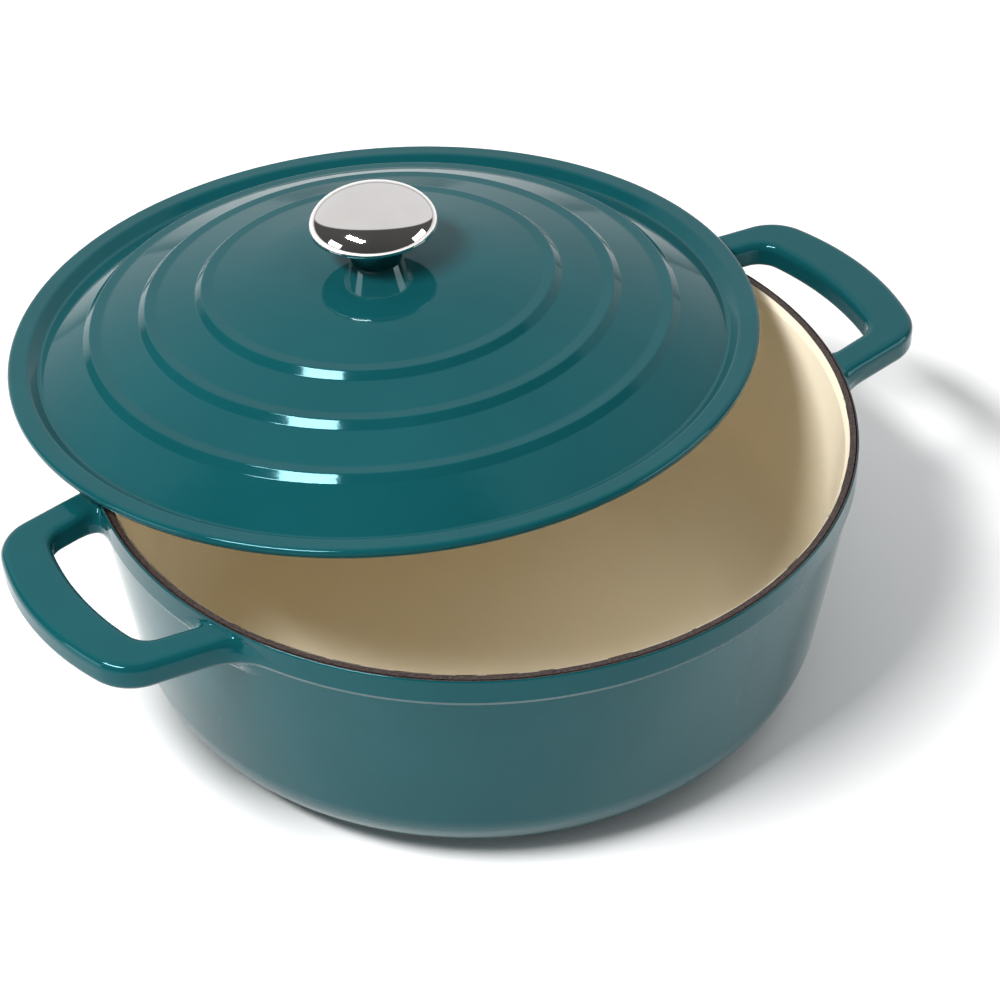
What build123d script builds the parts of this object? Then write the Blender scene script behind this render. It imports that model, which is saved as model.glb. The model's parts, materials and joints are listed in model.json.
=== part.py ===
"""Round enamelled cast iron dutch oven: a pot with two loop handles, and a stepped lid with a steel knob.

The frame's origin is the centre of the circle that the pot stands on. +Z is up, and the handles lie
along X. The lid rests ajar: slid along +Y, its +Y side low, its locating ring lying on the pot's rim.
"""
import os
from math import cos, radians, sin, sqrt

from build123d import *

os.makedirs("parts", exist_ok=True)

# Pot
POT_HEIGHT = 102.4
RIM_RADIUS = 140.0
MOUTH_RADIUS = 136.4
RIM_EDGE_ROUND = 0.8
RIM_LAND_DEPTH = 2.0
MOUTH_LEAD = 3.0
MOUTH_BLEND = 4.0
MOUTH_ROUND = 0.5
RIM_BAND_HEIGHT = 9.5
BAND_STEP = 1.8
BAND_STEP_INNER_ROUND = 1.5
BAND_STEP_OUTER_ROUND = 1.0
WALL_TOP_RADIUS = 139.1
WALL_FOOT_RADIUS = 125.0
WALL_THICKNESS = 4.1
FLOOR_HEIGHT = 4.8
BASE_CORNER_RADIUS = 31.0
FOOT_HEIGHT = 0.6
FOOT_OUTER_RADIUS = 96.0
FOOT_WIDTH = 7.0
ENAMEL = 0.4

# Loop handles, seen from above
HANDLE_REACH = 182.0
HANDLE_CORNER_X = 172.0
HANDLE_HALF_WIDTH = 45.0
HANDLE_ROOT_X = 112.0
HANDLE_ROOT_HALF_WIDTH = 54.0
HANDLE_CORNER_RADIUS = 19.0
HANDLE_THICKNESS = 11.0
HANDLE_DROP = 1.5
HANDLE_EDGE_RADIUS = 3.2
GAP_REACH = 162.8
GAP_CORNER_X = 157.8
GAP_HALF_WIDTH = 33.5
GAP_ROOT_HALF_WIDTH = 38.0
GAP_CORNER_RADIUS = 9.0
GAP_ROOT_RADIUS = 3.0

# Lid: heights are measured along its own axis, from the plane of its outer edge
LID_RADIUS = 140.9
LID_TILT = 5.03
LID_SHIFT_X = -1.2
LID_SHIFT_Y = 60.0
LID_EDGE_HEIGHT = POT_HEIGHT + 6.2
LID_CROWN = 32.0
LID_THICKNESS = 4.2
KNOB_SEAT_RADIUS = 13.0
DOME_RADIUS = 40.0
DOME_HEIGHT = 29.4
DOME_THICKNESS = 4.8
SEAT_BLENDS = [60.0, 150.0]
TERRACES = [(65.6, 25.0), (87.3, 18.5), (108.8, 10.4)]
TERRACE_BAND = 4.3
TERRACE_FALL = 0.1
TERRACE_DROP = 2.7
TERRACE_RUN = 2.8
TERRACE_ROUNDS = [5.0, 1.0, 1.6]
TROUGH_RADIUS = 129.2
TROUGH_HEIGHT = -3.2
FLANGE_RADIUS = 133.4
FLANGE_TOP = 0.3
FLANGE_LAND = -3.7
RING_OUTER = 134.0
RING_INNER = 126.5
RING_BOTTOM = -6.0
EDGE_ROUND = 1.9
TROUGH_ROUND = 1.5
FLANGE_ROUND = 2.5
RING_ROUND = 0.8
RING_FOOT_ROUND = 1.5
UNDERSIDE_BLENDS = [20.0, 20.0, 20.0, 100.0, 40.0]
SCREW_HOLE_RADIUS = 3.3
BARE_LAND_INNER = 134.4
BARE_LAND_OUTER = 139.0

# Knob, its screw and its washers, stacked along the lid's axis
KNOB_RADIUS = 23.9
KNOB_WIDEST = 14.4
KNOB_HEIGHT = 27.1
KNOB_CAP_RADIUS = 41.2
KNOB_SHOULDER = 15.4
KNOB_BULGE_RADIUS = 21.7
KNOB_BULGE_RISE = 5.35
KNOB_LIP_ROUND = 1.2
KNOB_WAIST = 9.4
KNOB_NECK = 13.5
KNOB_NECK_HEIGHT = 11.6
KNOB_GAP = 0.1
KNOB_FOOT_ROUND = 0.6
KNOB_NECK_ROUND = 2.0
THREAD_RADIUS = 3.0
THREAD_DEPTH = 13.0
SCREW_CLEARANCE = 0.05
SCREW_END_GAP = 1.0
SCREW_HEAD_RADIUS = 5.5
SCREW_HEAD_HEIGHT = 3.4
SCREW_HEAD_ROUND = 1.4
SCREW_SLOT_WIDTH = 1.4
SCREW_SLOT_DEPTH = 1.6
WASHER_HOLE_RADIUS = 3.15
FLAT_WASHER_RADIUS = 8.0
FLAT_WASHER_THICKNESS = 1.4
LOCK_WASHER_RADIUS = 5.4
LOCK_WASHER_THICKNESS = 1.5
LOCK_WASHER_SPLIT = 1.0

# Sections are drawn this far past the axis, so that insetting them leaves no hole along it
OVERRUN = 20.0
BEYOND = 200.0


def inset_half(outline, inset):
    """The half of a section on the +X side of its axis, drawn in by inset from its outline."""
    with BuildSketch() as half:
        add(outline)
        if inset:
            offset(amount=-inset)
        with Locations((BEYOND / 2, 0)):
            Rectangle(BEYOND, 2 * BEYOND, mode=Mode.INTERSECT)
    return half.sketch


# ---------------------------------------------------------------- pot: sections and handle plan
band_bottom = POT_HEIGHT - RIM_BAND_HEIGHT

with BuildSketch() as pot_section:
    with BuildLine():
        outside = FilletPolyline(
            (-OVERRUN, FOOT_HEIGHT),
            (WALL_FOOT_RADIUS, FOOT_HEIGHT),
            (WALL_TOP_RADIUS, band_bottom - BAND_STEP),
            (RIM_RADIUS, band_bottom),
            (RIM_RADIUS, POT_HEIGHT),
            (-OVERRUN, POT_HEIGHT),
            radius=[BASE_CORNER_RADIUS, BAND_STEP_INNER_ROUND, BAND_STEP_OUTER_ROUND, RIM_EDGE_ROUND],
        )
        Line(outside @ 1, outside @ 0)
    make_face()

inner_top = WALL_TOP_RADIUS - WALL_THICKNESS
inner_foot = WALL_FOOT_RADIUS - WALL_THICKNESS

with BuildSketch() as cavity_section:
    with BuildLine():
        inside = FilletPolyline(
            (-OVERRUN, FLOOR_HEIGHT),
            (inner_foot, FLOOR_HEIGHT),
            (inner_top, POT_HEIGHT - MOUTH_LEAD),
            (MOUTH_RADIUS, POT_HEIGHT),
            (MOUTH_RADIUS, POT_HEIGHT + OVERRUN),
            (-OVERRUN, POT_HEIGHT + OVERRUN),
            radius=[BASE_CORNER_RADIUS - WALL_THICKNESS, MOUTH_BLEND, MOUTH_ROUND, MOUTH_ROUND],
        )
        Line(inside @ 1, inside @ 0)
    make_face()

gap_root_x = sqrt(WALL_TOP_RADIUS**2 - GAP_ROOT_HALF_WIDTH**2)

with BuildSketch() as handle_gap:
    with BuildLine():
        ThreePointArc((GAP_CORNER_X, -GAP_HALF_WIDTH), (GAP_REACH, 0), (GAP_CORNER_X, GAP_HALF_WIDTH))
        Line((GAP_CORNER_X, GAP_HALF_WIDTH), (gap_root_x, GAP_ROOT_HALF_WIDTH))
        ThreePointArc(
            (gap_root_x, GAP_ROOT_HALF_WIDTH), (WALL_TOP_RADIUS, 0), (gap_root_x, -GAP_ROOT_HALF_WIDTH)
        )
        Line((gap_root_x, -GAP_ROOT_HALF_WIDTH), (GAP_CORNER_X, -GAP_HALF_WIDTH))
    make_face()
    fillet(vertices().group_by(Axis.X)[-1], GAP_CORNER_RADIUS)
    fillet(vertices().group_by(Axis.X)[0], GAP_ROOT_RADIUS)

with BuildSketch() as handle_plan:
    with BuildLine():
        Line((HANDLE_ROOT_X, -HANDLE_ROOT_HALF_WIDTH), (HANDLE_CORNER_X, -HANDLE_HALF_WIDTH))
        ThreePointArc(
            (HANDLE_CORNER_X, -HANDLE_HALF_WIDTH), (HANDLE_REACH, 0), (HANDLE_CORNER_X, HANDLE_HALF_WIDTH)
        )
        Line((HANDLE_CORNER_X, HANDLE_HALF_WIDTH), (HANDLE_ROOT_X, HANDLE_ROOT_HALF_WIDTH))
        Line((HANDLE_ROOT_X, HANDLE_ROOT_HALF_WIDTH), (HANDLE_ROOT_X, -HANDLE_ROOT_HALF_WIDTH))
    make_face()
    fillet(vertices().group_by(Axis.X)[-1], HANDLE_CORNER_RADIUS)
    add(handle_gap.sketch, mode=Mode.SUBTRACT)


def handle(inset):
    """The +X loop handle as a flat bar with rounded edges, drawn in by inset."""
    with BuildPart() as loop:
        with BuildSketch(Plane.XY.offset(POT_HEIGHT - HANDLE_DROP - HANDLE_THICKNESS + inset)):
            add(handle_plan.sketch)
            if inset:
                offset(amount=-inset)
        extrude(amount=HANDLE_THICKNESS - 2 * inset)
        rims = edges().group_by(Axis.Z)
        fillet(rims[0] + rims[-1], HANDLE_EDGE_RADIUS - inset)
    return loop.part


def pot_form(inset):
    """The pot's outer form with both handles, filled solid, drawn in by inset from the enamel's surface."""
    with BuildPart() as form:
        with BuildSketch(Plane.XZ):
            add(inset_half(pot_section.sketch, inset))
        revolve(axis=Axis.Z)
        loop = handle(inset)
        add(loop)
        mirror(loop, about=Plane.YZ)
    return form.part


def cavity(outset):
    """The pot's hollow, grown by outset."""
    with BuildPart() as hollow:
        with BuildSketch(Plane.XZ):
            add(inset_half(cavity_section.sketch, -outset))
        revolve(axis=Axis.Z)
    return hollow.part


# ---------------------------------------------------------------- pot
with BuildPart() as rim_land:
    with BuildSketch(Plane.XY.offset(POT_HEIGHT - RIM_LAND_DEPTH)):
        Circle(RIM_RADIUS - ENAMEL)
    extrude(amount=RIM_LAND_DEPTH)

# Iron casting: ground bare on top of the rim and under the foot ring
with BuildPart() as pot_casting:
    add(pot_form(ENAMEL))
    add(rim_land.part)
    with BuildSketch(Plane.XY):
        Circle(FOOT_OUTER_RADIUS)
        Circle(FOOT_OUTER_RADIUS - FOOT_WIDTH, mode=Mode.SUBTRACT)
    extrude(amount=FOOT_HEIGHT + 2 * ENAMEL)
    add(cavity(ENAMEL), mode=Mode.SUBTRACT)
pot_casting.part.label = "pot_casting"
export_step(pot_casting.part, "parts/pot_casting.step")

# Coloured enamel over the outside and the handles, down to the foot ring
with BuildPart() as pot_exterior_enamel:
    add(pot_form(0))
    add(pot_form(ENAMEL), mode=Mode.SUBTRACT)
    add(rim_land.part, mode=Mode.SUBTRACT)
    with BuildSketch(Plane.XY):
        Circle(FOOT_OUTER_RADIUS)
    extrude(amount=FOOT_HEIGHT + 2 * ENAMEL, mode=Mode.SUBTRACT)
pot_exterior_enamel.part.label = "pot_exterior_enamel"
export_step(pot_exterior_enamel.part, "parts/pot_exterior_enamel.step")

# Dark coat on the base, inside the foot ring
with BuildPart() as pot_base_enamel:
    with BuildSketch(Plane.XY.offset(FOOT_HEIGHT)):
        Circle(FOOT_OUTER_RADIUS - FOOT_WIDTH)
    extrude(amount=ENAMEL)
pot_base_enamel.part.label = "pot_base_enamel"
export_step(pot_base_enamel.part, "parts/pot_base_enamel.step")

# Cream enamel over the inside
with BuildPart() as pot_interior_enamel:
    add(cavity(ENAMEL))
    add(cavity(0), mode=Mode.SUBTRACT)
    with BuildSketch(Plane.XY.offset(POT_HEIGHT)):
        Circle(BEYOND)
    extrude(amount=BEYOND, mode=Mode.SUBTRACT)
pot_interior_enamel.part.label = "pot_interior_enamel"
export_step(pot_interior_enamel.part, "parts/pot_interior_enamel.step")

# ---------------------------------------------------------------- lid: plane, axis and sections
LID_PLANE = Plane(
    origin=(LID_SHIFT_X, LID_SHIFT_Y, LID_EDGE_HEIGHT),
    x_dir=(1, 0, 0),
    z_dir=(0, sin(radians(LID_TILT)), cos(radians(LID_TILT))),
)
LID_AXIS = Axis(LID_PLANE.origin, LID_PLANE.z_dir)
LID_UPRIGHT = Plane(origin=LID_PLANE.origin, x_dir=LID_PLANE.x_dir, z_dir=-LID_PLANE.y_dir)

# Each terrace: a level band, its crest, and the foot of the drop outside it
terrace_points = []
terrace_rounds = []
for crest_radius, crest_height in TERRACES:
    terrace_points += [
        (crest_radius - TERRACE_BAND, crest_height + TERRACE_FALL),
        (crest_radius, crest_height),
        (crest_radius + TERRACE_RUN, crest_height - TERRACE_DROP),
    ]
    terrace_rounds += TERRACE_ROUNDS

# The underside runs one thickness below the foot of each drop
underside_points = [
    (-OVERRUN, LID_CROWN - LID_THICKNESS),
    (KNOB_SEAT_RADIUS, LID_CROWN - LID_THICKNESS),
    (DOME_RADIUS, DOME_HEIGHT - DOME_THICKNESS),
]
for crest_radius, crest_height in TERRACES:
    underside_points.append((crest_radius + TERRACE_RUN, crest_height - TERRACE_DROP - LID_THICKNESS))

with BuildSketch() as lid_section:
    with BuildLine():
        top = FilletPolyline(
            (-OVERRUN, LID_CROWN),
            (KNOB_SEAT_RADIUS, LID_CROWN),
            (DOME_RADIUS, DOME_HEIGHT),
            *terrace_points,
            (TROUGH_RADIUS, TROUGH_HEIGHT),
            (FLANGE_RADIUS, FLANGE_TOP),
            (LID_RADIUS, FLANGE_TOP),
            (LID_RADIUS, FLANGE_LAND),
            (RING_OUTER, FLANGE_LAND),
            (RING_OUTER, RING_BOTTOM),
            (RING_INNER, RING_BOTTOM),
            *reversed(underside_points),
            radius=[
                *SEAT_BLENDS,
                *terrace_rounds,
                TROUGH_ROUND,
                FLANGE_ROUND,
                EDGE_ROUND,
                EDGE_ROUND,
                RING_ROUND,
                RING_ROUND,
                RING_FOOT_ROUND,
                *UNDERSIDE_BLENDS,
            ],
        )
        Line(top @ 1, top @ 0)
    make_face()

# The line inside the iron that parts the upper enamel from the lower
parting = [(x, y + LID_THICKNESS / 2) for x, y in underside_points]
parting.append((TROUGH_RADIUS, (TROUGH_HEIGHT + RING_BOTTOM) / 2))

with BuildSketch() as lid_upper_side:
    with BuildLine():
        Polyline(
            (-OVERRUN, BEYOND),
            (BEYOND, BEYOND),
            (BEYOND, -BEYOND),
            (BARE_LAND_OUTER, -BEYOND),
            (BARE_LAND_OUTER, (FLANGE_TOP + FLANGE_LAND) / 2),
            *reversed(parting),
            close=True,
        )
    make_face()

with BuildSketch() as lid_lower_side:
    with BuildLine():
        Polyline(
            (-OVERRUN, -BEYOND),
            (BARE_LAND_INNER, -BEYOND),
            (BARE_LAND_INNER, (FLANGE_TOP + FLANGE_LAND) / 2),
            *reversed(parting),
            close=True,
        )
    make_face()


def lid_coat(side):
    """The enamel's section on one side of the lid."""
    with BuildSketch() as coat:
        add(inset_half(lid_section.sketch, 0))
        add(inset_half(lid_section.sketch, ENAMEL), mode=Mode.SUBTRACT)
        add(side, mode=Mode.INTERSECT)
        Rectangle(2 * SCREW_HOLE_RADIUS, 2 * BEYOND, mode=Mode.SUBTRACT)
    return coat.sketch


upper_coat = lid_coat(lid_upper_side.sketch)
lower_coat = lid_coat(lid_lower_side.sketch)

# ---------------------------------------------------------------- lid
with BuildPart() as lid_casting:
    with BuildSketch(LID_UPRIGHT):
        add(inset_half(lid_section.sketch, 0))
        add(upper_coat, mode=Mode.SUBTRACT)
        add(lower_coat, mode=Mode.SUBTRACT)
        Rectangle(2 * SCREW_HOLE_RADIUS, 2 * BEYOND, mode=Mode.SUBTRACT)
    revolve(axis=LID_AXIS)
lid_casting.part.label = "lid_casting"
export_step(lid_casting.part, "parts/lid_casting.step")

with BuildPart() as lid_exterior_enamel:
    with BuildSketch(LID_UPRIGHT):
        add(upper_coat)
    revolve(axis=LID_AXIS)
lid_exterior_enamel.part.label = "lid_exterior_enamel"
export_step(lid_exterior_enamel.part, "parts/lid_exterior_enamel.step")

with BuildPart() as lid_interior_enamel:
    with BuildSketch(LID_UPRIGHT):
        add(lower_coat)
    revolve(axis=LID_AXIS)
lid_interior_enamel.part.label = "lid_interior_enamel"
export_step(lid_interior_enamel.part, "parts/lid_interior_enamel.step")

# ---------------------------------------------------------------- knob
knob_base = LID_CROWN + KNOB_GAP
knob_widest = knob_base + KNOB_WIDEST
lip_centre = KNOB_RADIUS - KNOB_LIP_ROUND
cap_drop = KNOB_CAP_RADIUS - sqrt(KNOB_CAP_RADIUS**2 - KNOB_SHOULDER**2)
cap_half_drop = KNOB_CAP_RADIUS - sqrt(KNOB_CAP_RADIUS**2 - (KNOB_SHOULDER / 2) ** 2)

with BuildPart() as knob:
    with BuildSketch(LID_UPRIGHT):
        with BuildLine():
            stem = FilletPolyline(
                (0, knob_base),
                (KNOB_WAIST, knob_base),
                (KNOB_NECK, knob_base + KNOB_NECK_HEIGHT),
                (lip_centre, knob_widest - KNOB_LIP_ROUND),
                radius=[KNOB_FOOT_ROUND, KNOB_NECK_ROUND],
            )
            CenterArc((lip_centre, knob_widest), KNOB_LIP_ROUND, -90, 90)
            shoulder = ThreePointArc(
                (KNOB_RADIUS, knob_widest),
                (KNOB_BULGE_RADIUS, knob_widest + KNOB_BULGE_RISE),
                (KNOB_SHOULDER, knob_base + KNOB_HEIGHT - cap_drop),
            )
            cap = ThreePointArc(
                shoulder @ 1,
                (KNOB_SHOULDER / 2, knob_base + KNOB_HEIGHT - cap_half_drop),
                (0, knob_base + KNOB_HEIGHT),
            )
            Line(cap @ 1, stem @ 0)
        make_face()
        with Locations((0, knob_base + THREAD_DEPTH / 2)):
            Rectangle(2 * THREAD_RADIUS, THREAD_DEPTH, mode=Mode.SUBTRACT)
    revolve(axis=LID_AXIS)
knob.part.label = "knob"
export_step(knob.part, "parts/knob.step")

# ---------------------------------------------------------------- knob screw and washers
flat_washer_top = LID_CROWN - LID_THICKNESS
lock_washer_top = flat_washer_top - FLAT_WASHER_THICKNESS
head_top = lock_washer_top - LOCK_WASHER_THICKNESS
screw_end = knob_base + THREAD_DEPTH - SCREW_END_GAP

with BuildPart() as knob_screw:
    with BuildSketch(LID_PLANE.offset(head_top)):
        Circle(SCREW_HEAD_RADIUS)
    extrude(amount=-SCREW_HEAD_HEIGHT)
    fillet(edges().group_by(LID_AXIS)[0], SCREW_HEAD_ROUND)
    with BuildSketch(LID_PLANE.offset(head_top)):
        Circle(THREAD_RADIUS - SCREW_CLEARANCE)
    extrude(amount=screw_end - head_top)
    with BuildSketch(LID_PLANE.offset(head_top - SCREW_HEAD_HEIGHT)):
        Rectangle(4 * SCREW_HEAD_RADIUS, SCREW_SLOT_WIDTH)
    extrude(amount=SCREW_SLOT_DEPTH, mode=Mode.SUBTRACT)
knob_screw.part.label = "knob_screw"
export_step(knob_screw.part, "parts/knob_screw.step")

with BuildPart() as flat_washer:
    with BuildSketch(LID_PLANE.offset(flat_washer_top)):
        Circle(FLAT_WASHER_RADIUS)
        Circle(WASHER_HOLE_RADIUS, mode=Mode.SUBTRACT)
    extrude(amount=-FLAT_WASHER_THICKNESS)
flat_washer.part.label = "flat_washer"
export_step(flat_washer.part, "parts/flat_washer.step")

# Split spring washer, shown squeezed flat
with BuildPart() as lock_washer:
    with BuildSketch(LID_PLANE.offset(lock_washer_top)):
        Circle(LOCK_WASHER_RADIUS)
        Circle(WASHER_HOLE_RADIUS, mode=Mode.SUBTRACT)
        with Locations((LOCK_WASHER_RADIUS, 0)):
            Rectangle(2 * LOCK_WASHER_RADIUS, LOCK_WASHER_SPLIT, mode=Mode.SUBTRACT)
    extrude(amount=-LOCK_WASHER_THICKNESS)
lock_washer.part.label = "lock_washer"
export_step(lock_washer.part, "parts/lock_washer.step")
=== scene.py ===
"""Looks of a round enamelled cast iron dutch oven, its stepped lid ajar, on a pale studio floor."""

import json
from math import acos, atan2, ceil, cos, pi, radians, sin, tan

import bpy
import numpy as np
from mathutils import Matrix, Vector


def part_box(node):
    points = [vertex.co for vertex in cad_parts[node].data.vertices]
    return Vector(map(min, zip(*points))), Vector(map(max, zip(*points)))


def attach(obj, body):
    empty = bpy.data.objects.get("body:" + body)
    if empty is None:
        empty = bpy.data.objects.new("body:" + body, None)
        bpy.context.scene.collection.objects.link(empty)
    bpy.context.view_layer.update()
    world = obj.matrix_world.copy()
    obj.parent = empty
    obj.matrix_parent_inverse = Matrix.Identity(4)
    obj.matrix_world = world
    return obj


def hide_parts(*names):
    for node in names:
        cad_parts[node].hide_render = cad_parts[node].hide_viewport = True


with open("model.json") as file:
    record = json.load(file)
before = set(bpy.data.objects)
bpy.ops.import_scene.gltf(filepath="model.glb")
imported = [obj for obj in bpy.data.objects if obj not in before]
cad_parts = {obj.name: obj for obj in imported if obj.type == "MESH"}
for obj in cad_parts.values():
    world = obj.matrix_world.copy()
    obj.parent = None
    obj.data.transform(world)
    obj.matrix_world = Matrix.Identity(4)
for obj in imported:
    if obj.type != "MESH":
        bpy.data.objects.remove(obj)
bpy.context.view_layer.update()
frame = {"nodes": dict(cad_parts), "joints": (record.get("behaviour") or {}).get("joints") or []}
MM = 0.001

# ---------------------------------------------------------------- driving sizes, in millimetres
ENAMEL = 0.4
TURNED_STEPS = 384

RIM_RADIUS = 140.0
MOUTH_RADIUS = 136.4
RIM_EDGE_ROUND = 0.8
RIM_BAND_HEIGHT = 9.5
BAND_STEP = 1.8
BAND_STEP_OUTER_ROUND = 1.0
BAND_STEP_INNER_ROUND = 1.5
MOUTH_LEAD = 3.0
MOUTH_BLEND = 4.0
WALL_TOP_RADIUS = 139.1
WALL_FOOT_RADIUS = 125.0
WALL_THICKNESS = 4.1
FLOOR_HEIGHT = 4.8
BASE_CORNER_RADIUS = 31.0
FOOT_HEIGHT = 0.6
FOOT_OUTER_RADIUS = 96.0

HANDLE_REACH = 182.0
HANDLE_CORNER_X = 172.0
HANDLE_HALF_WIDTH = 45.0
HANDLE_ROOT_X = 112.0
HANDLE_ROOT_HALF_WIDTH = 54.0
HANDLE_CORNER_RADIUS = 19.0
HANDLE_THICKNESS = 11.0
HANDLE_DROP = 1.5
HANDLE_EDGE_RADIUS = 3.2
GAP_REACH = 162.8
GAP_CORNER_X = 157.8
GAP_HALF_WIDTH = 33.5
GAP_ROOT_X = 100.0
GAP_ROOT_HALF_WIDTH = 43.5
GAP_CORNER_RADIUS = 9.0
ROOT_BLEND_TOP = 1.2
ROOT_BLEND_SIDE = 14.0
ROOT_BLEND_UNDER = 12.0
ROOT_BLEND_RISE = 2.0
LOOP_ARC_POINTS = 17
NET_STEP = 0.9
NET_START_X = 122.0
NET_MARGIN = 2.0
NET_CUT = 0.012

LID_RADIUS = 140.9
LID_CROWN = 32.0
KNOB_SEAT_RADIUS = 13.0
DOME_RADIUS = 40.0
DOME_HEIGHT = 29.4
LID_THICKNESS = 4.2
DOME_THICKNESS = 4.8
SEAT_BLENDS = [60.0, 150.0]
TERRACES = [(65.6, 25.0), (87.3, 18.5), (108.8, 10.4)]
TERRACE_BAND = 4.3
TERRACE_FALL = 0.1
TERRACE_DROP = 2.7
TERRACE_RUN = 2.8
TERRACE_ROUNDS = [5.0, 1.0, 1.6]
TROUGH = (129.2, -3.2)
TROUGH_ROUND = 1.5
FLANGE_RADIUS = 133.4
FLANGE_TOP = 0.3
FLANGE_LAND = -3.7
FLANGE_ROUND = 2.5
EDGE_ROUND = 1.9
RING_OUTER = 134.0
RING_INNER = 126.5
RING_BOTTOM = -6.0
LAND_ROUND = 0.2
RING_ROUND = 0.8
RING_FOOT_ROUND = 1.5
UNDERSIDE_BLENDS = [20.0, 20.0, 20.0, 100.0, 40.0]
SCREW_HOLE_RADIUS = 3.3
BARE_LAND_OUTER = 139.0
BARE_LAND_INNER = 134.4
LAND_CUT = 0.01

KNOB_RADIUS = 23.9
KNOB_WIDEST = 14.4
KNOB_HEIGHT = 27.1
KNOB_LIP_ROUND = 1.2
KNOB_WAIST = 9.4
KNOB_NECK = 13.5
KNOB_NECK_HEIGHT = 11.6
KNOB_NECK_ROUND = 2.0
KNOB_FOOT_ROUND = 0.6
KNOB_GAP = 0.1
THREAD_RADIUS = 3.0
THREAD_DEPTH = 13.0
THREAD_ROUND = 0.3

POT_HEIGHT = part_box("pot_casting")[1].z / MM
knob_joint = next(joint for joint in frame["joints"] if joint["name"] == "knob_turn")
lid_axis = Vector(knob_joint["axis"]).normalized()
lid_turn = Vector((0, 0, 1)).rotation_difference(lid_axis).to_matrix().to_4x4()
lid_place = Matrix.Translation(Vector(knob_joint["pos_m"])) @ lid_turn


# ---------------------------------------------------------------- outlines: rows of (r, z, nr, nz)
def rounded(points, radii, arc_step=radians(5)):
    """The path through points with its inner corners rounded; each row's normal is on its left."""
    rows = []
    points = [np.array(p, float) for p in points]
    for before, corner, after, radius in zip(points, points[1:], points[2:], radii):
        heading = (corner - before) / np.linalg.norm(corner - before)
        leaving = (after - corner) / np.linalg.norm(after - corner)
        turn = heading[0] * leaving[1] - heading[1] * leaving[0]
        angle = acos(max(-1, min(1, float(heading @ leaving))))
        start = corner - heading * radius * tan(angle / 2)
        side = 1 if turn > 0 else -1
        centre = start + side * radius * np.array((-heading[1], heading[0]))
        if not rows:
            rows.append((*points[0], -heading[1], heading[0]))
        count = max(2, ceil(angle / arc_step))
        for i in range(count + 1):
            a = side * angle * i / count
            h = heading * cos(a) + np.array((-heading[1], heading[0])) * sin(a)
            n = np.array((-h[1], h[0]))
            rows.append((*(centre - side * radius * n), *n))
    rows.append((*points[-1], -leaving[1], leaving[0]))
    return np.array(rows)


def coat(outline, thickness=ENAMEL):
    """A closed outline: the given one outside, and the same path one thickness in, going back."""
    inner = outline[::-1].copy()
    inner[:, 2:] *= -1
    inner[:, :2] += inner[:, 2:] * thickness
    return np.vstack((outline, inner))


# ---------------------------------------------------------------- meshes: (points, faces, normals)
def turned(outline, closed=True, steps=TURNED_STEPS):
    """The surface swept by an outline turned about the Z axis."""
    angles = np.linspace(0, 2 * pi, steps, endpoint=False)
    r, z, nr, nz = outline.T
    c, s = np.cos(angles)[:, None], np.sin(angles)[:, None]
    points = np.stack((c * r, s * r, np.broadcast_to(z, (steps, len(z)))), -1).reshape(-1, 3)
    normals = np.stack((c * nr, s * nr, np.broadcast_to(nz, (steps, len(z)))), -1).reshape(-1, 3)
    count = len(outline)
    rows = np.arange(count if closed else count - 1)
    turn = np.arange(steps)[:, None]
    onward = (turn + 1) % steps
    nxt = (rows + 1) % count
    here, there = turn * count, onward * count
    faces = np.stack((here + rows, here + nxt, there + nxt, there + rows), -1)
    return points, faces.reshape(-1, 4), normals


def polygon_distance(points, polygon):
    """Distance from points to a closed polygon, negative inside it."""
    nearest = np.full(len(points), np.inf)
    inside = np.zeros(len(points), bool)
    for a, b in zip(polygon, np.roll(polygon, -1, 0)):
        edge, to = b - a, points - a
        t = np.clip(to @ edge / (edge @ edge), 0, 1)
        nearest = np.minimum(nearest, ((to - t[:, None] * edge) ** 2).sum(1))
        crosses = (a[1] > points[:, 1]) != (b[1] > points[:, 1])
        rise = np.where(crosses, edge[1], 1)
        inside ^= crosses & (points[:, 0] < a[0] + edge[0] * (points[:, 1] - a[1]) / rise)
    return np.sqrt(nearest) * np.where(inside, -1, 1)


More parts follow.
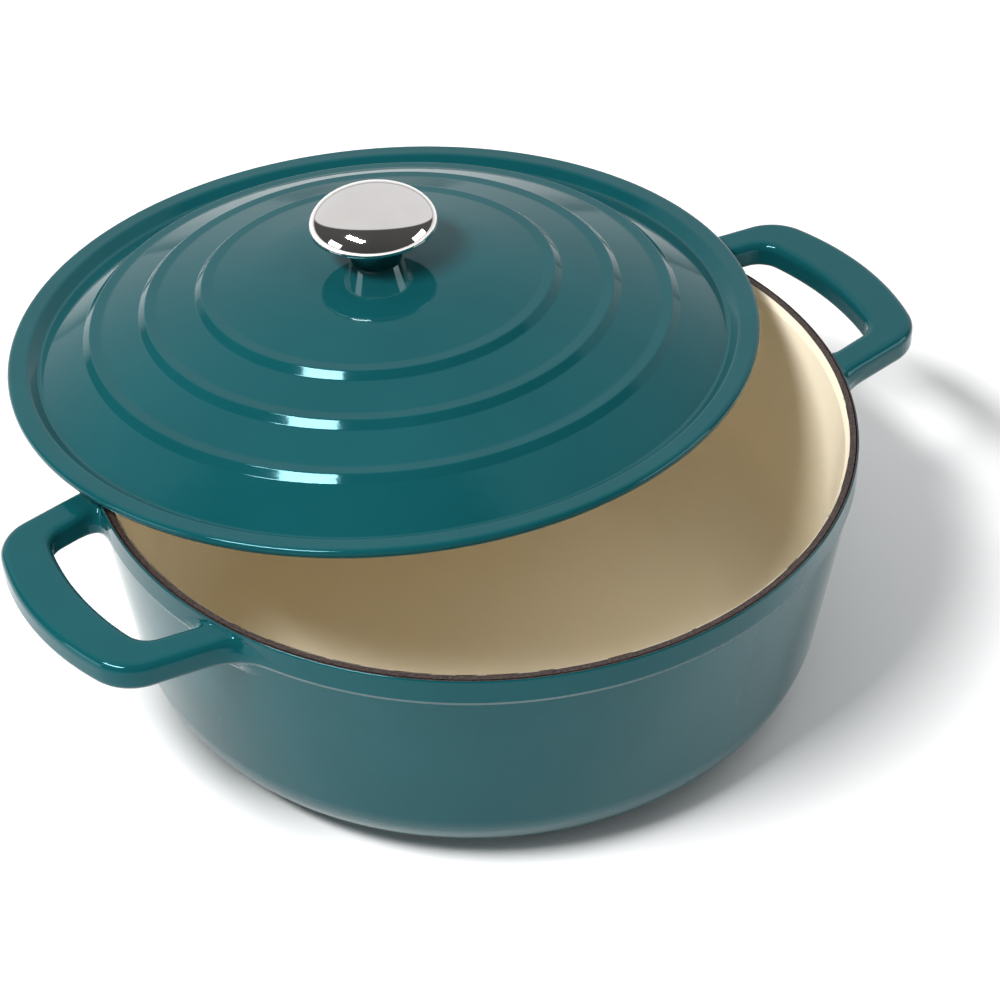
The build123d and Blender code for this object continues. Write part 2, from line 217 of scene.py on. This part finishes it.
def surface_net(field, low, high, step):
    """The zero surface of a distance field, as quads drawn onto it from a grid."""
    axes = [np.arange(a, b + step, step) for a, b in zip(low, high)]
    grid = np.stack(np.meshgrid(*axes, indexing="ij"), -1)
    inside = field(grid.reshape(-1, 3)).reshape(grid.shape[:3]) < 0
    corners = sum(
        inside[i : i - 1 or None, j : j - 1 or None, k : k - 1 or None].astype(int)
        for i in (0, 1)
        for j in (0, 1)
        for k in (0, 1)
    )
    mixed = (corners > 0) & (corners < 8)
    index = np.full(mixed.shape, -1)
    index[mixed] = np.arange(mixed.sum())
    points = np.array(low) + (np.argwhere(mixed) + 0.5) * step
    faces = []
    for axis in range(3):
        u, v = np.eye(3, dtype=int)[(axis + 1) % 3], np.eye(3, dtype=int)[(axis + 2) % 3]
        ends = np.diff(inside.astype(int), axis=axis)
        for sign, order in ((-1, (0, 1, 2, 3)), (1, (3, 2, 1, 0))):
            edge = np.argwhere(ends == sign)
            edge = edge[((edge - u - v) >= 0).all(1) & (edge < mixed.shape).all(1)]
            around = [edge, edge - u, edge - u - v, edge - v]
            faces.append(np.stack([index[tuple(around[i].T)] for i in order], -1))
    faces = np.vstack(faces)
    pairs = np.vstack([faces[:, [i, (i + 1) % 4]] for i in range(4)])
    share = np.bincount(pairs[:, 0], minlength=len(points))[:, None]
    for evened in (True, True, False, False):
        if evened:
            near = points[pairs[:, 1]]
            total = [np.bincount(pairs[:, 0], near[:, i], len(points)) for i in range(3)]
            points = np.stack(total, -1) / share
        away, slope = field(points), gradient(field, points)
        points = points - slope * (away / (slope**2).sum(1))[:, None]
    normals = gradient(field, points)
    return points, faces, normals / np.linalg.norm(normals, axis=1)[:, None]


def gradient(field, points, reach=0.02):
    """Slope of a field at points, from steps of reach along each axis."""
    here = field(points)
    return np.stack([(field(points + s) - here) / reach for s in np.eye(3) * reach], -1)


def kept(mesh, keep):
    """The mesh's faces whose corners are all kept."""
    points, faces, normals = mesh
    faces = faces[keep[faces].all(1)]
    used = np.unique(faces)
    place = np.full(len(points), -1)
    place[used] = np.arange(len(used))
    return points[used], place[faces], normals[used]


def mirrored(mesh):
    """The mesh on the other side of the YZ plane."""
    points, faces, normals = mesh
    flip = np.array((-1, 1, 1))
    return points * flip, faces[:, ::-1], normals * flip


def make_piece(name, meshes, body, material, nodes, place=Matrix.Identity(4)):
    """One Blender object from meshes, riding on a body and standing for CAD nodes."""
    points, faces, normals, start = [], [], [], 0
    for p, f, n in meshes:
        points.append(p)
        faces.append(f + start)
        normals.append(n)
        start += len(p)
    points, faces, normals = np.vstack(points) * MM, np.vstack(faces), np.vstack(normals)
    turn = np.array(place.to_3x3())
    points = points @ turn.T + np.array(place.translation)
    normals = normals @ turn.T
    data = bpy.data.meshes.new(name)
    data.from_pydata(points.tolist(), [], faces.tolist())
    data.shade_smooth()
    data.normals_split_custom_set_from_vertices(normals.tolist())
    data.materials.append(material)
    piece = bpy.data.objects.new(name, data)
    bpy.context.collection.objects.link(piece)
    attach(piece, body)
    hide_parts(*nodes)
    return piece


# ---------------------------------------------------------------- materials
def new_material(name, roughness, **inputs):
    """A material and its Principled shader; other inputs are named with _ for a space."""
    material = bpy.data.materials.new(name)
    material.use_nodes = True
    shader = material.node_tree.nodes["Principled BSDF"]
    shader.inputs["Roughness"].default_value = roughness
    for key, value in inputs.items():
        shader.inputs[key.replace("_", " ")].default_value = value
    return material, shader


def noise(material, scale, detail=2.0, rough=0.5, stretch=(1, 1, 1)):
    """Noise over the object's own coordinates; scale is in waves per metre."""
    nodes, links = material.node_tree.nodes, material.node_tree.links
    where = nodes.new("ShaderNodeTexCoord")
    mapping = nodes.new("ShaderNodeMapping")
    mapping.inputs["Scale"].default_value = stretch
    texture = nodes.new("ShaderNodeTexNoise")
    texture.inputs["Scale"].default_value = scale
    texture.inputs["Detail"].default_value = detail
    texture.inputs["Roughness"].default_value = rough
    links.new(where.outputs["Object"], mapping.inputs["Vector"])
    links.new(mapping.outputs["Vector"], texture.inputs["Vector"])
    return texture.outputs["Fac"]


def ramp(material, value, stops):
    """Maps a value through (position, colour) stops."""
    node = material.node_tree.nodes.new("ShaderNodeValToRGB")
    for i, (position, colour) in enumerate(stops):
        stop = node.color_ramp.elements[i] if i < 2 else node.color_ramp.elements.new(position)
        stop.position = position
        stop.color = (*colour, 1)
    material.node_tree.links.new(value, node.inputs["Fac"])
    return node.outputs["Color"]


def bump(material, value, distance, under=None):
    """Normals for a height value, distance metres deep, over those of another bump."""
    node = material.node_tree.nodes.new("ShaderNodeBump")
    node.inputs["Strength"].default_value = 1.0
    node.inputs["Distance"].default_value = distance
    material.node_tree.links.new(value, node.inputs["Height"])
    if under is not None:
        material.node_tree.links.new(under, node.inputs["Normal"])
    return node.outputs["Normal"]


def enamel_material(name, deep, light, roughness, tint=(1, 1, 1, 1)):
    """Glass enamel fired on iron: a slightly uneven glossy glaze with faint depth of colour."""
    material, shader = new_material(name, roughness, IOR=1.36, Specular_Tint=tint)
    link = material.node_tree.links.new
    colour = ramp(material, noise(material, 22, 3), [(0.3, deep), (0.7, light)])
    link(colour, shader.inputs["Base Color"])
    waves = bump(material, noise(material, 70, 1), 0.00006)
    link(bump(material, noise(material, 420, 2), 0.000006, under=waves), shader.inputs["Normal"])
    smooth, dull = (roughness * 0.8,) * 3, (roughness * 1.25,) * 3
    gloss = ramp(material, noise(material, 45, 2), [(0.3, smooth), (0.7, dull)])
    link(gloss, shader.inputs["Roughness"])
    return material


def iron_material(name, dark, light, roughness, grain):
    """Cast iron ground bare: dark, grainy, with brighter specks."""
    material, shader = new_material(name, roughness, Metallic=0.35)
    link = material.node_tree.links.new
    colour = ramp(material, noise(material, grain, 4, 0.65), [(0.36, dark), (0.62, light)])
    link(colour, shader.inputs["Base Color"])
    pits = bump(material, noise(material, grain * 1.7, 5, 0.7), 0.00022)
    link(pits, shader.inputs["Normal"])
    return material


def steel_material(name, colour, roughness, stretch):
    """Bare steel with a faint unevenness, drawn out along stretch."""
    material, shader = new_material(name, roughness, Metallic=1.0)
    link = material.node_tree.links.new
    dull = tuple(0.93 * c for c in colour)
    shade = ramp(material, noise(material, 60, 3, 0.5, stretch), [(0.3, dull), (0.7, colour)])
    link(shade, shader.inputs["Base Color"])
    link(bump(material, noise(material, 900, 2, 0.5, stretch), 0.0000015), shader.inputs["Normal"])
    return material


teal = enamel_material(
    "teal_enamel",
    deep=(0.003, 0.056, 0.064),
    light=(0.004, 0.063, 0.072),
    roughness=0.06,
    tint=(0.42, 0.87, 1.0, 1),
)
cream = enamel_material("cream_enamel", (0.87, 0.79, 0.62), (0.89, 0.81, 0.65), 0.10)
black = enamel_material("base_enamel", (0.018, 0.018, 0.02), (0.026, 0.026, 0.028), 0.25)
iron = iron_material("ground_iron", (0.014, 0.008, 0.007), (0.07, 0.046, 0.04), 0.42, 900)
polished = steel_material("polished_steel", (0.80, 0.775, 0.755), 0.045, (1, 1, 1))
plain_steel = steel_material("plain_steel", (0.60, 0.60, 0.60), 0.3, (1, 1, 6))


# ---------------------------------------------------------------- pot
def pot_outline():
    """The pot's outside, from the rim's land down to the base."""
    band_bottom = POT_HEIGHT - RIM_BAND_HEIGHT
    return rounded(
        [
            (RIM_RADIUS - ENAMEL - RIM_EDGE_ROUND, POT_HEIGHT),
            (RIM_RADIUS, POT_HEIGHT),
            (RIM_RADIUS, band_bottom),
            (WALL_TOP_RADIUS, band_bottom - BAND_STEP),
            (WALL_FOOT_RADIUS, FOOT_HEIGHT),
            (FOOT_OUTER_RADIUS, FOOT_HEIGHT),
        ],
        [RIM_EDGE_ROUND, BAND_STEP_OUTER_ROUND, BAND_STEP_INNER_ROUND, BASE_CORNER_RADIUS],
    )


def cavity_outline():
    """The pot's inside, from the middle of its floor up to the mouth."""
    return rounded(
        [
            (0, FLOOR_HEIGHT),
            (WALL_FOOT_RADIUS - WALL_THICKNESS, FLOOR_HEIGHT),
            (WALL_TOP_RADIUS - WALL_THICKNESS, POT_HEIGHT - MOUTH_LEAD),
            (MOUTH_RADIUS, POT_HEIGHT),
        ],
        [BASE_CORNER_RADIUS - WALL_THICKNESS, MOUTH_BLEND],
    )


def loop_outline(root_x, root_half_width, corner_x, half_width, reach, corner_radius):
    """A loop seen from above: two arms, and an arc across their ends with rounded corners."""
    rise = reach - corner_x
    arc_radius = (half_width**2 + rise**2) / (2 * rise)
    arc_x = reach - arc_radius
    arm = np.array((corner_x - root_x, half_width - root_half_width), float)
    arm /= np.linalg.norm(arm)
    inward = np.array((arm[1], -arm[0]))
    base = np.array((corner_x - arc_x, half_width)) + inward * corner_radius
    along = base @ arm
    reach_left = (arc_radius - corner_radius) ** 2 - base @ base
    centre = base + arm * (-along - (along**2 + reach_left) ** 0.5)
    ahead = base + arm * (-along + (along**2 + reach_left) ** 0.5)
    centre = ahead if ahead[0] > centre[0] else centre
    first = atan2(-inward[1], -inward[0])
    last = atan2(centre[1], centre[0])
    fillet = [
        (arc_x + centre[0] + corner_radius * cos(a), centre[1] + corner_radius * sin(a))
        for a in np.linspace(first, last, LOOP_ARC_POINTS)
    ]
    front = [
        (arc_x + arc_radius * cos(a), arc_radius * sin(a))
        for a in np.linspace(last, 0, LOOP_ARC_POINTS)[1:]
    ]
    half = [(root_x, root_half_width), *fillet, *front]
    return np.array(half + [(x, -y) for x, y in reversed(half[:-1])])


def handle_mesh():
    """The +X loop handle, flowing into the pot's wall and the band under its rim."""
    outside = pot_outline()[:, :2]
    body = np.vstack((outside, [(0, FOOT_HEIGHT), (0, POT_HEIGHT)]))
    plan = loop_outline(
        HANDLE_ROOT_X,
        HANDLE_ROOT_HALF_WIDTH,
        HANDLE_CORNER_X,
        HANDLE_HALF_WIDTH,
        HANDLE_REACH,
        HANDLE_CORNER_RADIUS,
    )
    gap = loop_outline(
        GAP_ROOT_X,
        GAP_ROOT_HALF_WIDTH,
        GAP_CORNER_X,
        GAP_HALF_WIDTH,
        GAP_REACH,
        GAP_CORNER_RADIUS,
    )
    top = POT_HEIGHT - HANDLE_DROP
    middle = top - HANDLE_THICKNESS / 2

    def from_body(p):
        """Distance to the pot's outside."""
        return polygon_distance(np.stack((np.hypot(p[:, 0], p[:, 1]), p[:, 2]), -1), body)

    def field(p):
        """Distance to bar and pot together, with a blend between them that shrinks at the rim."""
        flat = np.maximum(polygon_distance(p[:, :2], plan), -polygon_distance(p[:, :2], gap))
        across = flat + HANDLE_EDGE_RADIUS
        high = np.abs(p[:, 2] - middle) - HANDLE_THICKNESS / 2 + HANDLE_EDGE_RADIUS
        out, up = np.maximum(across, 0), np.maximum(high, 0)
        bar = np.minimum(np.maximum(across, high), 0) - HANDLE_EDGE_RADIUS
        bar += np.hypot(out, up)
        wall = from_body(p)
        upright = up / (np.hypot(out, up) + 1e-6)
        flat_blend = np.where(p[:, 2] > middle, ROOT_BLEND_TOP, ROOT_BLEND_UNDER)
        reach = ROOT_BLEND_SIDE + (flat_blend - ROOT_BLEND_SIDE) * upright**2
        below_rim = np.clip(POT_HEIGHT - p[:, 2], 0, None)
        reach = np.minimum(reach, ROOT_BLEND_TOP + ROOT_BLEND_RISE * below_rim)
        near = np.maximum(reach - np.abs(bar - wall), 0) / reach
        return np.minimum(bar, wall) - near**3 * reach / 6

    half = HANDLE_ROOT_HALF_WIDTH + ROOT_BLEND_SIDE
    low = (NET_START_X, -half, top - HANDLE_THICKNESS - ROOT_BLEND_SIDE)
    high = (HANDLE_REACH + NET_MARGIN, half, POT_HEIGHT + NET_MARGIN)
    mesh = surface_net(field, low, high, NET_STEP)
    points = mesh[0]
    beyond_rim = np.hypot(points[:, 0], points[:, 1]) > RIM_RADIUS - BAND_STEP
    return kept(mesh, (from_body(points) > NET_CUT) & beyond_rim & (points[:, 2] < POT_HEIGHT))


handle = handle_mesh()
make_piece(
    "pot_enamel",
    [turned(coat(pot_outline())), handle, mirrored(handle)],
    "pot",
    teal,
    ["pot_exterior_enamel"],
)
make_piece(
    "pot_lining",
    [turned(coat(cavity_outline()))],
    "pot",
    cream,
    ["pot_interior_enamel"],
)


# ---------------------------------------------------------------- lid
def lid_outlines():
    """The lid's top and underside, each from the screw hole to its edge of enamel."""
    top = [
        (SCREW_HOLE_RADIUS, LID_CROWN),
        (KNOB_SEAT_RADIUS, LID_CROWN),
        (DOME_RADIUS, DOME_HEIGHT),
    ]
    top_rounds = list(SEAT_BLENDS)
    for radius, height in TERRACES:
        top += [(radius - TERRACE_BAND, height + TERRACE_FALL), (radius, height)]
        top.append((radius + TERRACE_RUN, height - TERRACE_DROP))
        top_rounds += TERRACE_ROUNDS
    top += [
        TROUGH,
        (FLANGE_RADIUS, FLANGE_TOP),
        (LID_RADIUS, FLANGE_TOP),
        (LID_RADIUS, FLANGE_LAND),
        (BARE_LAND_OUTER - LAND_CUT, FLANGE_LAND),
    ]
    top_rounds += [TROUGH_ROUND, FLANGE_ROUND, EDGE_ROUND, EDGE_ROUND]
    under = [
        (BARE_LAND_INNER, FLANGE_LAND),
        (RING_OUTER, FLANGE_LAND),
        (RING_OUTER, RING_BOTTOM),
        (RING_INNER, RING_BOTTOM),
    ]
    for radius, height in reversed(TERRACES):
        under.append((radius + TERRACE_RUN, height - TERRACE_DROP - LID_THICKNESS))
    under += [
        (DOME_RADIUS, DOME_HEIGHT - DOME_THICKNESS),
        (KNOB_SEAT_RADIUS, LID_CROWN - LID_THICKNESS),
        (SCREW_HOLE_RADIUS, LID_CROWN - LID_THICKNESS),
    ]
    under_rounds = [LAND_ROUND, RING_ROUND, RING_FOOT_ROUND, *UNDERSIDE_BLENDS]
    return rounded(top, top_rounds), rounded(under, under_rounds)


lid_top, lid_under = lid_outlines()
make_piece(
    "lid_enamel",
    [turned(coat(lid_top))],
    "lid",
    teal,
    ["lid_exterior_enamel"],
    lid_place,
)
make_piece(
    "lid_lining",
    [turned(coat(lid_under))],
    "lid",
    cream,
    ["lid_interior_enamel"],
    lid_place,
)


# ---------------------------------------------------------------- knob
def ellipse_rows(centre, across, up, first, last, count):
    """Rows along an arc of an upright ellipse between two angles, its normals outward."""
    a = np.linspace(first, last, count)
    normals = np.stack((np.cos(a) * up, np.sin(a) * across), -1)
    normals /= np.linalg.norm(normals, axis=1)[:, None]
    return np.column_stack((centre[0] + across * np.cos(a), centre[1] + up * np.sin(a), normals))


def knob_outline():
    """The knob's section, from the top of its cap round to the end of its tapped hole."""
    base = LID_CROWN + KNOB_GAP
    widest = base + KNOB_WIDEST
    lip_centre = KNOB_RADIUS - KNOB_LIP_ROUND
    cap = ellipse_rows((0, widest), KNOB_RADIUS, KNOB_HEIGHT - KNOB_WIDEST, pi / 2, 0, 72)
    lip = ellipse_rows((lip_centre, widest), KNOB_LIP_ROUND, KNOB_LIP_ROUND, 0, -pi / 2, 12)
    stem = rounded(
        [
            (lip_centre, widest - KNOB_LIP_ROUND),
            (KNOB_NECK, base + KNOB_NECK_HEIGHT),
            (KNOB_WAIST, base),
            (THREAD_RADIUS, base),
            (THREAD_RADIUS, base + THREAD_DEPTH),
            (0, base + THREAD_DEPTH),
        ],
        [KNOB_NECK_ROUND, KNOB_FOOT_ROUND, THREAD_ROUND, THREAD_ROUND],
    )
    return np.vstack((cap[:-1], lip, stem[1:]))


make_piece(
    "knob_polished",
    [turned(knob_outline(), closed=False)],
    "knob",
    polished,
    ["knob"],
    lid_place,
)

for node, material in (
    ("pot_casting", iron),
    ("pot_base_enamel", black),
    ("lid_casting", iron),
    ("knob_screw", plain_steel),
    ("flat_washer", plain_steel),
    ("lock_washer", plain_steel),
):
    data = frame["nodes"][node].data
    data.materials.clear()
    data.materials.append(material)


# ---------------------------------------------------------------- floor, light and camera
FLOOR_HALF_WIDTH = 6.0
BACK_AZIMUTH = 55
BACK_ELEVATION = 36
CAMERA_AIM = Vector((-0.0016, -0.0188, 0.080))
CAMERA_HEADING = -33.51
CAMERA_ELEVATION = 39.23
CAMERA_DISTANCE = 1.2783
CAMERA_ROLL = -0.62
CAMERA_LENS = 126.0


def studio_floor():
    data = bpy.data.meshes.new("floor")
    half = FLOOR_HALF_WIDTH
    corners = [(-half, -half, 0), (half, -half, 0), (half, half, 0), (-half, half, 0)]
    data.from_pydata(corners, [], [(0, 1, 2, 3)])
    floor = bpy.data.objects.new("floor", data)
    bpy.context.collection.objects.link(floor)
    material, shader = new_material("floor_paper", 0.9, Specular_IOR_Level=0.0)
    shader.inputs["Base Color"].default_value = (0.9, 0.9, 0.9, 1)
    data.materials.append(material)


def softbox(name, azimuth, elevation, distance, width, height, power, colour=(1, 1, 1)):
    """A rectangular light aimed at the pot; azimuth is measured from +X towards +Y."""
    data = bpy.data.lights.new(name, "AREA")
    data.shape = "RECTANGLE"
    data.size = width
    data.size_y = height
    data.energy = power
    data.color = colour
    lamp = bpy.data.objects.new(name, data)
    a, e = radians(azimuth), radians(elevation)
    away = Vector((cos(a) * cos(e), sin(a) * cos(e), sin(e)))
    lamp.location = away * distance + Vector((0, 0, POT_HEIGHT * MM))
    lamp.rotation_mode = "QUATERNION"
    lamp.rotation_quaternion = away.to_track_quat("Z", "Y")
    bpy.context.collection.objects.link(lamp)
    return lamp


def studio_air(stops):
    """The studio round the pot: a bright patch behind it and dark elsewhere.

    Stops are (cosine of the angle from the patch's middle, grey).
    """
    world = bpy.data.worlds.new("studio")
    world.use_nodes = True
    nodes, links = world.node_tree.nodes, world.node_tree.links
    where = nodes.new("ShaderNodeTexCoord")
    towards = nodes.new("ShaderNodeVectorMath")
    towards.operation = "DOT_PRODUCT"
    a, e = radians(BACK_AZIMUTH), radians(BACK_ELEVATION)
    towards.inputs[1].default_value = (cos(a) * cos(e), sin(a) * cos(e), sin(e))
    shift = nodes.new("ShaderNodeMapRange")
    shift.inputs["From Min"].default_value = -1
    shade = nodes.new("ShaderNodeValToRGB")
    for i, (position, grey) in enumerate(stops):
        place = (position + 1) / 2
        stop = shade.color_ramp.elements[i] if i < 2 else shade.color_ramp.elements.new(place)
        stop.position = place
        stop.color = (grey, grey, grey * 1.01, 1)
    links.new(where.outputs["Generated"], towards.inputs[0])
    links.new(towards.outputs["Value"], shift.inputs["Value"])
    links.new(shift.outputs["Result"], shade.inputs["Fac"])
    links.new(shade.outputs["Color"], nodes["Background"].inputs["Color"])
    bpy.context.scene.world = world


def make_camera():
    data = bpy.data.cameras.new("camera")
    data.lens = CAMERA_LENS
    data.sensor_width = 36.0
    camera = bpy.data.objects.new("camera", data)
    a, e = radians(CAMERA_HEADING), radians(CAMERA_ELEVATION)
    back = Vector((sin(a) * cos(e), -cos(a) * cos(e), sin(e)))
    camera.location = CAMERA_AIM + back * CAMERA_DISTANCE
    roll = Matrix.Rotation(radians(CAMERA_ROLL), 3, "Z").to_quaternion()
    camera.rotation_mode = "QUATERNION"
    camera.rotation_quaternion = (-back).to_track_quat("-Z", "Y") @ roll
    bpy.context.collection.objects.link(camera)
    bpy.context.scene.camera = camera


studio_floor()
studio_air([(-1.0, 0.06), (0.56, 0.09), (0.59, 0.86), (0.8, 0.86), (1.0, 0.86)])
softbox("key", 185, 54, 2.2, 1.1, 0.34, 68)
softbox("fill", 325, 12, 2.4, 1.2, 0.9, 12)
softbox("side", 165, 12, 2.6, 1.1, 0.9, 12)
overhead = softbox("overhead", 310, 62, 2.4, 1.8, 1.8, 10)
overhead.visible_glossy = False
make_camera()

view = bpy.context.scene.view_settings
view.view_transform = "Standard"
view.look = "None"
